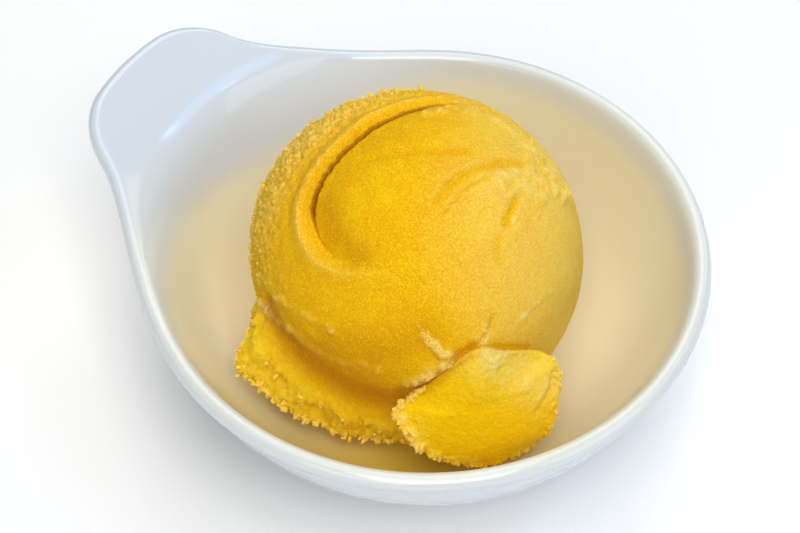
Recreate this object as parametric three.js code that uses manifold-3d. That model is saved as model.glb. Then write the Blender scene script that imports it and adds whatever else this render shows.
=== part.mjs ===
// A scoop of mango sorbet in a small porcelain tasting dish whose rim flares out into a handle.
// Millimetres, +Z up. The origin is on the table under the middle of the dish; the handle points to -X.

import * as THREE from "three";
import Module from "manifold-3d";

const { degToRad, lerp, smoothstep } = THREE.MathUtils;

// ---- Driving dimensions of the dish ----
const BOWL_RADIUS = 55; // outside of the round rim
const RIM_HEIGHT = 37; // middle of the rounded lip round the bowl
const WALL = 3.6; // porcelain thickness, and the lip's diameter
const FLOOR_HEIGHT = 4.5; // middle of the porcelain at the bottom of the bowl
const WALL_POWER = 4.45; // the bowl's depth grows with this power of the distance from its axis
const RIM_BEND = 0.8; // how softly the wall turns into the lip round the bowl
const HANDLE_REACH = 73; // from the bowl's axis to the tip of the handle
const HANDLE_HALF_WIDTH = 22.2;
const HANDLE_CORNER = 16; // radius of the handle's two corners
const HANDLE_BULGE = 0.5; // how far the tip bows out between the corners
const HANDLE_TAPER = degToRad(22.4); // angle of the handle's sides to its middle line
const HANDLE_RISE = 0.534; // rise of the flared handle for each mm outwards
const HANDLE_BEND = 4; // how softly the wall turns into the handle
const BOWL_ARC = degToRad(86.5); // from +X to where the rim leaves the circle for the handle
const SIDE_LEAVE = 0.464; // the two handle lengths of the curve along the handle's side
const SIDE_ARRIVE = 0.185;
const FOOT_RADIUS = 28; // outside of the foot ring
const FOOT_WIDTH = 3.5;
const FOOT_RECESS = 2.2; // hollow inside the foot ring

// ---- Driving dimensions of the sorbet ----
const BALL_RADIUS = 31.5;
const BALL_CENTRE = new THREE.Vector3(-0.8, -1.1, 36); // from the foot of the bowl's axis
const FACE_AZIMUTH = degToRad(-56.5); // the side of the ball that the scoop pressed faces here
const FACE_ELEVATION = degToRad(50.7);
const FOLD_AXIS = new THREE.Vector3(-0.1, 0.35, 0.93); // middle of the dome inside the rolled edge
const FOLD_DEPTH = 2.6; // the crevice under the rolled edge
const FOLD_LIP = 1.1; // how far the rolled edge stands proud
const SKIRT_VALLEY = 0.9; // hollow between the ball and the skirt
const TONGUE_AXIS = { spin: degToRad(289), tilt: degToRad(61.5) }; // middle of the tongue on the ball
const TONGUE_SPREAD = degToRad(24); // its half width, as an angle at the ball's centre
const TONGUE_THICKNESS = 3.2;
const TONGUE_FLARE = 8; // how much further its lower edge stands out
const GAP = 0.35; // clearance between the sorbet and the dish

const BOWL_X = (HANDLE_REACH - BOWL_RADIUS) / 2; // puts the origin under the middle of the dish

// ---- Small helpers ----

const softMin = (a, b, k) => -k * Math.log(Math.exp(-a / k) + Math.exp(-b / k));
const bell = (x, width) => Math.exp(-((x / width) ** 2));
const turnBetween = (from, to) => ((((to - from + 180) % 360) + 360) % 360) - 180; // degrees

// Closed surface from a first pole over rings of equal length to a last pole. The rings turn
// counter-clockwise as seen from outside at the first pole.
function closedSurface(firstPole, rings, lastPole) {
  const count = rings[0].length;
  const points = [firstPole, ...rings.flat(), lastPole];
  const at = (ring, column) => 1 + ring * count + (column % count);
  const last = points.length - 1;
  const index = [];
  for (let column = 0; column < count; column += 1) {
    index.push(0, at(0, column), at(0, column + 1));
    for (let ring = 0; ring + 1 < rings.length; ring += 1) {
      index.push(at(ring, column), at(ring + 1, column), at(ring + 1, column + 1));
      index.push(at(ring, column), at(ring + 1, column + 1), at(ring, column + 1));
    }
    index.push(last, at(rings.length - 1, column + 1), at(rings.length - 1, column));
  }
  const geometry = new THREE.BufferGeometry().setFromPoints(points);
  geometry.setIndex(index);
  return geometry;
}

// ---- Dish, worked out from the bowl's axis ----

// Height of the middle of the porcelain over a place in plan.
function middleHeight(x, y) {
  const radius = Math.hypot(x, y);
  const rimMiddle = BOWL_RADIUS - WALL / 2;
  const corner = RIM_HEIGHT + RIM_BEND * Math.LN2;
  const wall = FLOOR_HEIGHT + (corner - FLOOR_HEIGHT) * (radius / rimMiddle) ** WALL_POWER;
  const flare = corner + HANDLE_RISE * (radius - rimMiddle);
  const towardHandle = smoothstep(-x, 0.4 * radius, 0.9 * radius) * smoothstep(radius, 30, 46);
  return softMin(wall, flare, lerp(RIM_BEND, HANDLE_BEND, towardHandle));
}

function middlePoint(x, y) {
  return new THREE.Vector3(x, y, middleHeight(x, y));
}

function middleNormal(x, y) {
  const step = 0.01;
  const slopeX = (middleHeight(x + step, y) - middleHeight(x - step, y)) / (2 * step);
  const slopeY = (middleHeight(x, y + step) - middleHeight(x, y - step)) / (2 * step);
  return new THREE.Vector3(-slopeX, -slopeY, 1).normalize();
}

// One side of the rim in plan, from +X round to the tip of the handle.
function halfOutline() {
  const points = [];
  const arcSteps = 15;
  for (let i = 0; i < arcSteps; i += 1) {
    const angle = (BOWL_ARC * i) / arcSteps;
    points.push(new THREE.Vector2(Math.cos(angle), Math.sin(angle)).multiplyScalar(BOWL_RADIUS));
  }
  const arcEnd = new THREE.Vector2(Math.cos(BOWL_ARC), Math.sin(BOWL_ARC));
  const leaving = new THREE.Vector2(-arcEnd.y, arcEnd.x);
  arcEnd.multiplyScalar(BOWL_RADIUS);
  const centre = new THREE.Vector2(
    -(HANDLE_REACH - HANDLE_BULGE - HANDLE_CORNER),
    HANDLE_HALF_WIDTH - HANDLE_CORNER,
  );
  const onCorner = (angle) =>
    new THREE.Vector2(-Math.cos(angle), Math.sin(angle)).multiplyScalar(HANDLE_CORNER).add(centre);
  const cornerStart = Math.PI / 2 - HANDLE_TAPER;
  const cornerEnd = 2 * Math.atan2(HANDLE_BULGE, centre.y);
  const sideEnd = onCorner(cornerStart);
  const arriving = new THREE.Vector2(-Math.cos(HANDLE_TAPER), -Math.sin(HANDLE_TAPER));
  const length = sideEnd.distanceTo(arcEnd);
  const side = new THREE.CubicBezierCurve(
    arcEnd,
    arcEnd.clone().addScaledVector(leaving, SIDE_LEAVE * length),
    sideEnd.clone().addScaledVector(arriving, -SIDE_ARRIVE * length),
    sideEnd,
  );
  points.push(...side.getPoints(12).slice(0, -1));
  const cornerSteps = 6;
  for (let i = 0; i <= cornerSteps; i += 1) {
    points.push(onCorner(lerp(cornerStart, cornerEnd, i / cornerSteps)));
  }
  const tipStart = points.at(-1);
  for (const share of [0.5, 0]) {
    const x = -HANDLE_REACH + (tipStart.x + HANDLE_REACH) * share ** 2;
    points.push(new THREE.Vector2(x, tipStart.y * share));
  }
  return points;
}

// Middle line of the lip in plan: the whole outline, moved in by half the wall.
function lipLine() {
  const half = halfOutline();
  const other = half.slice(1, -1).reverse();
  const outline = [...half, ...other.map((point) => new THREE.Vector2(point.x, -point.y))];
  return outline.map((point, i) => {
    const next = outline[(i + 1) % outline.length];
    const previous = outline.at(i - 1);
    const along = next.clone().sub(previous).normalize();
    return new THREE.Vector2(point.x - (along.y * WALL) / 2, point.y + (along.x * WALL) / 2);
  });
}

function makeDish() {
  const lip = lipLine();
  const rims = lip.map((point) => middlePoint(point.x, point.y));
  const rings = [];

  // A ring on the upper (side 1) or lower (side -1) face. Out to the circle it is round; past it,
  // share runs from the circle (0) to the lip line (1).
  const circle = 49;
  const addFace = (side, radius, share = 0) => {
    rings.push(
      lip.map((point) => {
        const reach = lerp(radius, point.length(), share);
        const plan = point.clone().setLength(reach);
        const normal = middleNormal(plan.x, plan.y);
        return middlePoint(plan.x, plan.y).addScaledVector(normal, (side * WALL) / 2);
      }),
    );
  };
  const addCircle = (radius, height) => {
    rings.push(
      lip.map((point) => {
        const plan = point.clone().setLength(radius);
        return new THREE.Vector3(plan.x, plan.y, height);
      }),
    );
  };

  for (const radius of [12, 21, 28, 34, 39, 43, 46, circle]) {
    addFace(1, radius);
  }
  for (const share of [0.3, 0.65, 1]) {
    addFace(1, circle, share);
  }
  const lipSteps = 5;
  for (let step = 1; step < lipSteps; step += 1) {
    const turn = (Math.PI * step) / lipSteps;
    rings.push(
      rims.map((rim, i) => {
        const normal = middleNormal(rim.x, rim.y);
        const along = rims[(i + 1) % rims.length].clone().sub(rims.at(i - 1));
        const outward = along.cross(normal).normalize();
        return rim
          .clone()
          .addScaledVector(normal, (Math.cos(turn) * WALL) / 2)
          .addScaledVector(outward, (Math.sin(turn) * WALL) / 2);
      }),
    );
  }
  for (const share of [1, 0.65, 0.3]) {
    addFace(-1, circle, share);
  }
  for (const radius of [circle, 45, 40, 35, 30.5]) {
    addFace(-1, radius);
  }
  addCircle(FOOT_RADIUS + 0.3, 1.5);
  addCircle(FOOT_RADIUS, 0);
  addCircle(FOOT_RADIUS - FOOT_WIDTH, 0);
  addCircle(FOOT_RADIUS - FOOT_WIDTH - 0.8, FOOT_RECESS);

  const top = new THREE.Vector3(0, 0, middleHeight(0, 0) + WALL / 2);
  return closedSurface(top, rings, new THREE.Vector3(0, 0, FOOT_RECESS));
}

// ---- Sorbet, worked out round the ball's centre ----

// The ball's own axes: face points out of the pressed side, right and up lie across it.
const face = new THREE.Vector3().setFromSphericalCoords(
  1,
  Math.PI / 2 - FACE_ELEVATION,
  FACE_AZIMUTH + Math.PI / 2,
);
face.set(face.x, -face.z, face.y);
const right = new THREE.Vector3(0, 0, 1).cross(face).normalize();
const up = face.clone().cross(right);

// Direction at an angle tilt from an axis, spun from right towards up.
function around(axis, spin, tilt) {
  const across = up.clone().cross(axis).normalize();
  const above = axis.clone().cross(across);
  return axis
    .clone()
    .multiplyScalar(Math.cos(tilt))
    .addScaledVector(across, Math.sin(tilt) * Math.cos(spin))
    .addScaledVector(above, Math.sin(tilt) * Math.sin(spin));
}

const foldAxis = right
  .clone()
  .multiplyScalar(FOLD_AXIS.x)
  .addScaledVector(up, FOLD_AXIS.y)
  .addScaledVector(face, FOLD_AXIS.z)
  .normalize();

// The crevice is an open spiral round the dome: its angle from the dome's middle, in degrees.
function foldTilt(spin) {
  const opened = 58 * bell(turnBetween(40, spin), 38) + 10.5 * bell(turnBetween(199, spin), 28);
  return softMin(25.5 + opened, 58, 4);
}

// Share of the full depth: the crevice fades out at both ends.
function foldShare(spin) {
  return smoothstep(spin, 58, 88) * (1 - smoothstep(spin, 212, 252));
}

// How far the edge of the skirt stands out of the ball.
function skirtReach(spin) {
  const grown = Math.max(0, (268 - spin) / 57);
  const ripple = 0.35 * Math.sin(degToRad(spin * 19)) + 0.25 * Math.sin(degToRad(spin * 31));
  const skirt = (3.9 + 5.2 * grown ** 1.6 + ripple) * smoothstep(spin, 197, 213);
  return 0.5 * bell(spin - 140, 60) + skirt * (1 - smoothstep(spin, 290, 318));
}

// Keeps a point of the sorbet clear of the dish.
function clearOfDish(point) {
  const normal = middleNormal(point.x, point.y);
  const top = middleHeight(point.x, point.y) + (WALL / 2 + GAP) / normal.z;
  point.z = Math.max(point.z, top);
  return point;
}

function onBall(direction, radius) {
  return clearOfDish(direction.clone().multiplyScalar(radius).add(BALL_CENTRE));
}

function makeBall() {
  const columns = 72;
  const back = face.clone().negate();
  const rings = [];
  const addRing = (shape) => {
    const ring = [];
    for (let column = 0; column < columns; column += 1) {
      const spin = (360 * column) / columns;
      const { direction, height } = shape(spin);
      ring.push(onBall(direction, BALL_RADIUS + height));
    }
    rings.push(ring);
  };
  const crevice = (spin) => around(foldAxis, degToRad(spin), degToRad(foldTilt(spin)));
  const edge = (spin) => around(face, degToRad(spin), Math.PI / 2);

  // The dome inside the crevice sinks towards it.
  for (const share of [0.2, 0.42, 0.62, 0.78, 0.9, 1]) {
    addRing((spin) => {
      const distance = BALL_RADIUS * degToRad(foldTilt(spin)) * (1 - share);
      return {
        direction: around(foldAxis, degToRad(spin), degToRad(foldTilt(spin)) * share),
        height: -FOLD_DEPTH * foldShare(spin) * Math.exp(-distance / 3.5),
      };
    });
  }

  // The rolled edge stands proud of the crevice and falls away outwards.
  const between = (spin, angle) => {
    const start = crevice(spin);
    const span = start.angleTo(edge(spin));
    const turn = Math.min(angle, span);
    return start
      .clone()
      .multiplyScalar(Math.sin(span - turn) / Math.sin(span))
      .addScaledVector(edge(spin), Math.sin(turn) / Math.sin(span));
  };
  const lipHeight = (spin, distance) =>
    foldShare(spin) * FOLD_LIP * smoothstep(distance, 0, 2.5) * Math.exp(-Math.max(0, distance - 3) / 5);
  for (const distance of [0.8, 2.2, 4]) {
    addRing((spin) => ({
      direction: between(spin, distance / BALL_RADIUS),
      height: lipHeight(spin, distance) - FOLD_DEPTH * foldShare(spin) * bell(distance, 0.8),
    }));
  }

  // Out to the edge of the skirt, with a hollow in front of it.
  for (const share of [0.2, 0.4, 0.58, 0.74, 0.87, 1]) {
    addRing((spin) => {
      const lipAngle = 4 / BALL_RADIUS;
      const span = crevice(spin).angleTo(edge(spin));
      const angle = lerp(lipAngle, span, share);
      const hollow = SKIRT_VALLEY * smoothstep(skirtReach(spin), 1, 4) * bell(share - 0.6, 0.25);
      return {
        direction: between(spin, angle),
        height: lipHeight(spin, angle * BALL_RADIUS) + skirtReach(spin) * share ** 6 - hollow,
      };
    });
  }

  // Under the skirt and round the back of the ball.
  for (const degrees of [4, 9, 18, 28, 38, 48, 58, 68, 79]) {
    addRing((spin) => ({
      direction: around(face, degToRad(spin), Math.PI / 2 + degToRad(degrees)),
      height: skirtReach(spin) * Math.exp(-degrees / 4.5),
    }));
  }
  return closedSurface(onBall(foldAxis, BALL_RADIUS), rings, onBall(back, BALL_RADIUS));
}

// A thick tongue of sorbet plastered over the front of the skirt, flaring out at its lower edge.
function makeTongue() {
  const columns = 36;
  const axis = around(face, TONGUE_AXIS.spin, TONGUE_AXIS.tilt);
  const outerHeight = (direction) => {
    const tilt = direction.angleTo(face);
    return TONGUE_THICKNESS + TONGUE_FLARE * smoothstep(tilt, degToRad(50), degToRad(92));
  };
  const ring = (share, height) => {
    const points = [];
    for (let column = 0; column < columns; column += 1) {
      const spin = (2 * Math.PI * column) / columns;
      const uneven = 1 + 0.1 * Math.cos(spin + 0.6) + 0.03 * Math.sin(5 * spin) + 0.02 * Math.sin(9 * spin);
      const direction = around(axis, spin, TONGUE_SPREAD * uneven * share);
      points.push(onBall(direction, BALL_RADIUS + height(direction)));
    }
    return points;
  };
  const sunk = () => -6;
  const rings = [
    ring(0.3, outerHeight),
    ring(0.6, outerHeight),
    ring(0.85, outerHeight),
    ring(0.97, (direction) => outerHeight(direction) - 0.5),
    ring(1, (direction) => outerHeight(direction) - 1.4),
    ring(0.94, (direction) => outerHeight(direction) - 3.4),
    ring(0.7, sunk),
    ring(0.35, sunk),
  ];
  return closedSurface(
    onBall(axis, BALL_RADIUS + outerHeight(axis)),
    rings,
    onBall(axis, BALL_RADIUS + sunk()),
  );
}

// ---- One solid from several ----

const wasm = await Module();
wasm.setup();

function toSolid(geometry) {
  return new wasm.Manifold(
    new wasm.Mesh({
      numProp: 3,
      vertProperties: new Float32Array(geometry.attributes.position.array),
      triVerts: new Uint32Array(geometry.index.array),
    }),
  );
}

function toGeometry(solid) {
  const mesh = solid.getMesh();
  const geometry = new THREE.BufferGeometry();
  geometry.setAttribute("position", new THREE.BufferAttribute(mesh.vertProperties, 3));
  geometry.setIndex(new THREE.BufferAttribute(mesh.triVerts, 1));
  return geometry;
}

function makeSorbet() {
  return toGeometry(toSolid(makeBall()).add(toSolid(makeTongue())));
}

// ---- Scene graph ----

function addPart(group, name, geometry, material) {
  geometry.computeVertexNormals();
  const mesh = new THREE.Mesh(geometry, new THREE.MeshStandardMaterial(material));
  mesh.name = name;
  group.add(mesh);
}

const sorbetCup = new THREE.Group();
sorbetCup.position.x = BOWL_X;
addPart(sorbetCup, "dish", makeDish(), { color: 0xf2f2f0, roughness: 0.12, metalness: 0 });
addPart(sorbetCup, "sorbet", makeSorbet(), { color: 0xf0ba14, roughness: 0.5, metalness: 0 });

export default sorbetCup;
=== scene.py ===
"""Looks of the sorbet cup: the glazed dish and the frozen sorbet at fine resolution.

Shapes are worked out in millimetres round the bowl's axis, from the CAD model's own dimensions,
and written in metres. Positions marked as pixels are in the camera's 800 x 533 frame.
"""

import math

import bmesh
import bpy
import numpy as np
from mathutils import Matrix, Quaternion, Vector
from mathutils.kdtree import KDTree


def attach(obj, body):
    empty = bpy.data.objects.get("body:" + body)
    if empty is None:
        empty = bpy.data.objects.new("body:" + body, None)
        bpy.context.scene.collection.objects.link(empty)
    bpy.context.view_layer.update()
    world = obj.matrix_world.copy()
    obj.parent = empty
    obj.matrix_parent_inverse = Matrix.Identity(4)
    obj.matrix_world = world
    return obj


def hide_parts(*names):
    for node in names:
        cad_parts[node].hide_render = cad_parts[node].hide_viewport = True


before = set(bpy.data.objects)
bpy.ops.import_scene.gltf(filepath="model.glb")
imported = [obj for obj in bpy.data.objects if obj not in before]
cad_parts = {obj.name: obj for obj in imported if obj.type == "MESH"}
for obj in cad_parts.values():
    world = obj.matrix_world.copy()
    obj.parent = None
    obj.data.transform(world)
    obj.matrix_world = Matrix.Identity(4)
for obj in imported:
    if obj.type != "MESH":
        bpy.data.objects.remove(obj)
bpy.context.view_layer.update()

MM = 0.001

# ---- Dish dimensions in millimetres, as in the CAD model ----
BOWL_RADIUS = 55.0
RIM_HEIGHT = 37.0
WALL = 3.6
FLOOR_HEIGHT = 4.5
WALL_POWER = 4.45
RIM_BEND = 0.8
HANDLE_REACH = 73.0
HANDLE_HALF_WIDTH = 22.2
HANDLE_CORNER = 16.0
HANDLE_BULGE = 0.5
HANDLE_TAPER = math.radians(22.4)
HANDLE_RISE = 0.534
HANDLE_BEND = 4.0
BOWL_ARC = math.radians(86.5)
SIDE_LEAVE = 0.464
SIDE_ARRIVE = 0.185
FOOT_RADIUS = 28.0
FOOT_WIDTH = 3.5
FOOT_RECESS = 2.2
FOOT_EDGE = 0.5
BOWL_X = (HANDLE_REACH - BOWL_RADIUS) / 2

# ---- Dish mesh ----
# The rings are circles out to ROUND_REACH and then ease into the rim's outline. Underneath they
# are circles again, down to FOOT_REACH where the foot's fillet begins.
ROUND_REACH = 49.0
FOOT_REACH = 30.5
ROUND_RINGS = 56
EASING_RINGS = 24
LIP_RINGS = 16
LIP_FADE_RINGS = 14

# ---- Sorbet dimensions in millimetres, as in the CAD model ----
BALL_RADIUS = 31.5
BALL_CENTRE = np.array([-0.8, -1.1, 36.0])
FACE_AZIMUTH = math.radians(-56.5)
FACE_ELEVATION = math.radians(50.7)
TONGUE_THICKNESS = 3.2
TONGUE_FLARE = 8.0
TONGUE_CROWN = 0.7
TONGUE_EDGE = 1.0
GAP = 0.35

# ---- Sorbet detail that only the scene has ----
# The ice grain's size, the crevice's width and the width of its edge, in millimetres, and the
# share of the fold's rings that lie in the crevice.
BEAD = 1.5
SLOT_WIDTH = 0.85
SLOT_EDGE = 0.16
SLOT_SHARE = 0.25
FLAP_HEIGHT = 1.3
TONGUE_ROOT = 6.0
TONGUE_THIN = 0.8
CRUMB_THIN = 0.9
CRUMB_BLOOM = 0.25

# ---- Sorbet meshes: rings on the dome, the fold's lip, from there to the edge, and the back ----
BALL_COLUMNS = 500
DOME_RINGS = 59
FOLD_RINGS = 24
SIDE_RINGS = 71
BACK_RINGS = 44
EDGE_RING = DOME_RINGS + FOLD_RINGS + SIDE_RINGS - 1
SPINS = 360 * np.arange(BALL_COLUMNS) / BALL_COLUMNS
TONGUE_COLUMNS = 400
TONGUE_TOP_RINGS = 77
TONGUE_EDGE_RINGS = 15
TONGUE_UNDER_RINGS = 17

# Directions on the ball: towards the camera's side, across it, up it, and the fold's axis.
FACE = np.array([
    math.cos(FACE_ELEVATION) * math.cos(FACE_AZIMUTH),
    math.cos(FACE_ELEVATION) * math.sin(FACE_AZIMUTH),
    math.sin(FACE_ELEVATION),
])
RIGHT = np.cross([0, 0, 1], FACE)
RIGHT /= np.linalg.norm(RIGHT)
UP = np.cross(FACE, RIGHT)
FOLD = -0.1 * RIGHT + 0.35 * UP + 0.93 * FACE
FOLD /= np.linalg.norm(FOLD)
# Poles of the streaks on the ball and on the tongue, and the side where a painted sheen makes the
# ball palest.
SWEEP = 0.387 * RIGHT + 0.172 * UP + 0.906 * FACE
TONGUE_SWEEP = 0.87 * RIGHT + 0.5 * UP
BLOOM = 0.86 * RIGHT + 0.1 * UP + 0.5 * FACE

# ---- Colours, linear ----
# Blue cast of the glaze on the handle, rim and outside: painted cool skylight on the white
# porcelain.
GLAZE_COOL = (0.635, 0.70, 0.775)
GLAZE_COOL_LIGHT = (0.655, 0.72, 0.795)
# Warm glaze inside the bowl: painted yellow bounce light from the sorbet on the white porcelain.
GLAZE_WARM = (0.87, 0.83, 0.60)
GLAZE_WARM_LIGHT = (0.89, 0.85, 0.63)
# Painted shadow of the sorbet on the glaze, yellow with the sorbet's bounce light.
GLAZE_JUICE = (1.0, 0.72, 0.03)
# Painted shade in the sorbet's creases, hollows and grooves and low on the front, darkest in the
# fold's crevice.
MANGO_DARK = (0.30, 0.11, 0.001)
MANGO_DEEP = (0.62, 0.25, 0.001)
MANGO_WARM = (0.85, 0.415, 0.001)
MANGO_BRIGHT = (0.94, 0.58, 0.002)
MANGO_THIN_DEEP = (1.0, 0.60, 0.001)
MANGO_THIN = (1.0, 0.72, 0.002)
MANGO_CRYSTAL = (1.0, 0.74, 0.04)
MANGO_PALE = (0.98, 0.77, 0.24)

# ---- Camera, fitted to the dish's outline ----
IMAGE_WIDTH_PX = 800
IMAGE_HEIGHT_PX = 533
PIXELS_PER_MM = 5.16
SENSOR_MM = 36.0
FOCAL_PX = 2104.2
CAMERA_DISTANCE = 0.420
CAMERA_AZIMUTH = math.radians(33.525)
CAMERA_ELEVATION = math.radians(50.716)
CAMERA_TARGET = Vector((BOWL_X * MM - 0.007558, 0.002405, 0.025))


# ---- Camera geometry ----

def camera_back():
    """Direction from what the camera looks at to the camera."""
    return Vector((
        math.sin(CAMERA_AZIMUTH) * math.cos(CAMERA_ELEVATION),
        -math.cos(CAMERA_AZIMUTH) * math.cos(CAMERA_ELEVATION),
        math.sin(CAMERA_ELEVATION),
    ))


def view_axes():
    """The camera's directions back, right and up, and its place in millimetres."""
    back = np.array(camera_back())
    right = np.array([math.cos(CAMERA_AZIMUTH), math.sin(CAMERA_AZIMUTH), 0])
    eye = np.array(CAMERA_TARGET) / MM - [BOWL_X, 0, 0] + back * CAMERA_DISTANCE / MM
    return back, right, np.cross(back, right), eye


def frame_pixels(points):
    """Where points in millimetres round the bowl's axis appear in the camera's frame."""
    back, right, up, eye = view_axes()
    offset = points - eye
    depth = -(offset @ back)
    across = IMAGE_WIDTH_PX / 2 + FOCAL_PX * (offset @ right) / depth
    down = IMAGE_HEIGHT_PX / 2 - FOCAL_PX * (offset @ up) / depth
    return np.stack([across, down], axis=-1)


def pixel_direction(across, down, height):
    """Direction from the ball's centre to where a pixel's ray meets, or passes, the raised ball."""
    back, right, up, eye = view_axes()
    offset = eye - BALL_CENTRE
    ray = right * (across - IMAGE_WIDTH_PX / 2) + up * (IMAGE_HEIGHT_PX / 2 - down)
    ray -= back * FOCAL_PX
    ray /= np.linalg.norm(ray)
    nearest = -(offset @ ray)
    miss = offset @ offset - nearest * nearest
    place = offset + ray * (nearest - math.sqrt(max((BALL_RADIUS + height) ** 2 - miss, 0)))
    return place / np.linalg.norm(place)


# ---- Helpers ----

def smoothstep(x, low, high):
    """From 0 at low to 1 at high, level at both ends."""
    t = np.clip((x - low) / (high - low), 0, 1)
    return t * t * (3 - 2 * t)


def bell(x, width):
    """From 1 at 0 down to 0 some widths away on both sides."""
    return np.exp(-((x / width) ** 2))


def soft_min(a, b, k):
    """The smaller of two values, rounded over where they meet."""
    return -k * np.logaddexp(-a / k, -b / k)


def turn_between(start, end):
    """Signed turn in degrees from one angle to another, the short way round."""
    return (end - start + 180) % 360 - 180


def noise(points, size, seed):
    """Smooth noise from -1 to 1 with lumps about size across, at points of shape (..., 3)."""
    place = np.asarray(points, float) / size
    cell = np.floor(place).astype(np.int64)
    part = place - cell
    part = part * part * (3 - 2 * part)
    total = 0
    for corner in range(8):
        step = np.array([corner & 1, corner >> 1 & 1, corner >> 2 & 1])
        at = cell + step
        mixed = at[..., 0] * 73856093 ^ at[..., 1] * 19349663 ^ at[..., 2] * 83492791 ^ seed * 40503
        mixed = (mixed ^ mixed >> 13) * 1274126177 & 0xFFFFFFFF
        mixed = (mixed ^ mixed >> 16) & 0xFFFF
        weight = np.prod(np.where(step == 1, part, 1 - part), axis=-1)
        total = total + weight * (mixed / 32767.5 - 1)
    return total


def beads(points, size, seed):
    """Rounded lumps about size across, from 0 between them to 1 on top."""
    place = np.asarray(points, float) / size
    cell = np.floor(place).astype(np.int64)
    nearest = np.full(place.shape[:-1], 9.0)
    for step in np.ndindex(3, 3, 3):
        at = cell + np.array(step) - 1
        mixed = at[..., 0] * 73856093 ^ at[..., 1] * 19349663 ^ at[..., 2] * 83492791 ^ seed * 40503
        gap = 0
        for axis in range(3):
            mixed = (mixed ^ mixed >> 13) * 1274126177 & 0xFFFFFFFF
            mixed = mixed ^ mixed >> 16
            centre = at[..., axis] + 0.15 + 0.7 * (mixed & 0xFFFF) / 65535
            gap = gap + (place[..., axis] - centre) ** 2
        nearest = np.minimum(nearest, gap)
    return np.sqrt(np.clip(1 - nearest / 0.6, 0, 1))


def mesh_object(name, points, faces, body="root"):
    """A smooth-shaded mesh from points in millimetres round the bowl's axis."""
    mesh = bpy.data.meshes.new(name)
    placed = (np.asarray(points, float) + [BOWL_X, 0, 0]) * MM
    mesh.from_pydata(placed.tolist(), [], faces)
    mesh.validate()
    mesh.shade_smooth()
    obj = bpy.data.objects.new(name, mesh)
    bpy.context.scene.collection.objects.link(obj)
    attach(obj, body)
    return obj


def closed_surface(name, first, rings, last):
    """A closed mesh over rings of shape (rings, columns, 3) between two poles."""
    count, columns = rings.shape[:2]
    points = np.vstack([[first], rings.reshape(-1, 3), [last]])
    here = np.arange(columns)
    after = (here + 1) % columns
    end = len(points) - 1
    faces = [(0, 1 + a, 1 + b) for a, b in zip(here, after)]
    for ring in range(count - 1):
        inner = 1 + ring * columns
        outer = inner + columns
        faces += [(inner + a, outer + a, outer + b, inner + b) for a, b in zip(here, after)]
    outer = 1 + (count - 1) * columns
    faces += [(end, outer + b, outer + a) for a, b in zip(here, after)]
    return mesh_object(name, points, [tuple(int(i) for i in face) for face in faces])


def set_flow(obj, points, pole):
    """Coordinates along which the scoop's fine streaks run round a pole on the ball."""
    offset = np.asarray(points).reshape(-1, 3) - BALL_CENTRE
    reach = np.linalg.norm(offset, axis=1)
    tilt = np.arccos(np.clip(offset @ pole / reach, -1, 1)) * reach
    fold_tilt = np.arccos(np.clip(offset @ FOLD / reach, -1, 1)) * reach
    tilt += (fold_tilt - tilt) * smoothstep(-(offset @ RIGHT) / reach, 0.1, 0.5)
    flat = offset - (offset @ pole)[:, None] * pole
    wander = 1.5 * noise(offset, 7, 41) + 0.6 * noise(offset, 2.5, 42)
    flow = np.column_stack([tilt / 0.55 + wander, flat @ RIGHT / 3, flat @ UP / 3])
    attribute = obj.data.attributes.new("flow", "FLOAT_VECTOR", "POINT")
    attribute.data.foreach_set("vector", flow.astype(np.float32).ravel())


def set_attribute(obj, name, values):
    attribute = obj.data.attributes.new(name, "FLOAT", "POINT")
    attribute.data.foreach_set("value", np.asarray(values, np.float32))


def set_ring_attributes(obj, first=0, last=0, **rings):
    """Attributes of a closed surface from values over its rings, with a value at each pole."""
    for name, values in rings.items():
        set_attribute(obj, name, np.concatenate([[first], values.ravel(), [last]]))


# ---- Dish ----

def middle_height(x, y):
    """Height of the middle of the porcelain over a place in plan."""
    radius = np.hypot(x, y)
    rim_middle = BOWL_RADIUS - WALL / 2
    corner = RIM_HEIGHT + RIM_BEND * math.log(2)
    wall = FLOOR_HEIGHT + (corner - FLOOR_HEIGHT) * (radius / rim_middle) ** WALL_POWER
    flare = corner + HANDLE_RISE * (radius - rim_middle)
    toward_handle = smoothstep(-x, 0.4 * radius, 0.9 * radius + 1e-9) * smoothstep(radius, 30, 46)
    return soft_min(wall, flare, RIM_BEND + (HANDLE_BEND - RIM_BEND) * toward_handle)


def middle_normal(x, y):
    """Upward normal of the middle of the porcelain over a place in plan."""
    step = 0.01
    slope_x = (middle_height(x + step, y) - middle_height(x - step, y)) / (2 * step)
    slope_y = (middle_height(x, y + step) - middle_height(x, y - step)) / (2 * step)
    normal = np.stack([-slope_x, -slope_y, np.ones_like(slope_x)], axis=-1)
    return normal / np.linalg.norm(normal, axis=-1, keepdims=True)


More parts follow.
